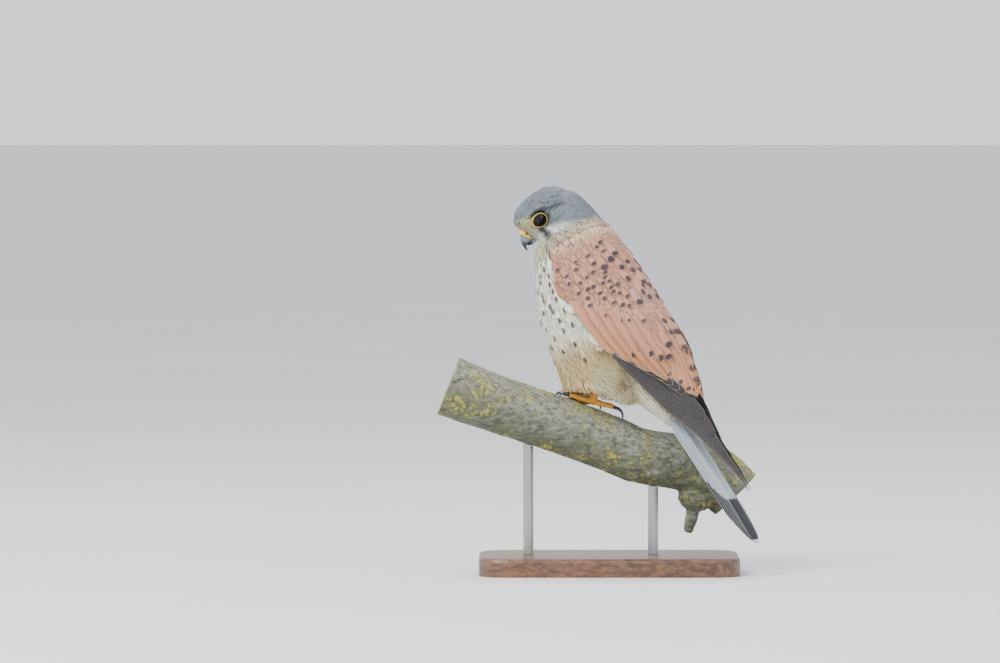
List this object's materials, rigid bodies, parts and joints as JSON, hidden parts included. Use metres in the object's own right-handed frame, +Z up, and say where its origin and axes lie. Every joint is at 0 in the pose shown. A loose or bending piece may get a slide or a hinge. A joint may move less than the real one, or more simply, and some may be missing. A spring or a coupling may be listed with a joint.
{
  "type": "common kestrel model",
  "caption": "Life-size standing model of a common kestrel with folded wings and turned head, gripping a sloping cut branch on a flat display stand",
  "frame": {"origin": "middle of the whole object's box in plan, on the plane of the stand's underside", "axes": "+Z up; the bird's body faces -X and its left side is towards -Y; the perch crosses the body's line at 25 degrees in plan"},
  "size_m": [0.2496, 0.1786, 0.2973],
  "materials": {
    "head_feathers": "soft feathers",
    "breast_feathers": "soft feathers",
    "wing_feathers": "soft feathers",
    "primary_feathers": "firm vanes",
    "tail_feathers": "firm vanes",
    "eye_dark": "polished and opaque",
    "cere_skin": "waxy skin",
    "bill_horn": "satin horn",
    "foot_skin": "scaled skin",
    "claw_horn": "polished horn",
    "bark": "rough bark",
    "stand_wood": "satin lacquer",
    "stand_steel": "brushed"
  },
  "bodies": {
    "root": {"head": "head_feathers", "neck": "breast_feathers", "torso": "breast_feathers", "thigh_left": "breast_feathers", "thigh_right": "breast_feathers", "eye_left": "eye_dark", "eye_right": "eye_dark", "eyelid_left": "cere_skin", "eyelid_right": "cere_skin", "cere": "cere_skin", "upper_bill": "bill_horn", "lower_bill": "bill_horn", "wing_left": "wing_feathers", "wing_right": "wing_feathers", "primaries_left": "primary_feathers", "primaries_right": "primary_feathers", "tail": "tail_feathers", "foot_left": "foot_skin", "foot_right": "foot_skin", "claw_left_inner": "claw_horn", "claw_left_middle": "claw_horn", "claw_left_outer": "claw_horn", "claw_left_hind": "claw_horn", "claw_right_inner": "claw_horn", "claw_right_middle": "claw_horn", "claw_right_outer": "claw_horn", "claw_right_hind": "claw_horn", "perch": "bark", "stand_base": "stand_wood", "stand_rod_front": "stand_steel", "stand_rod_rear": "stand_steel"}
  },
  "joints": []
}
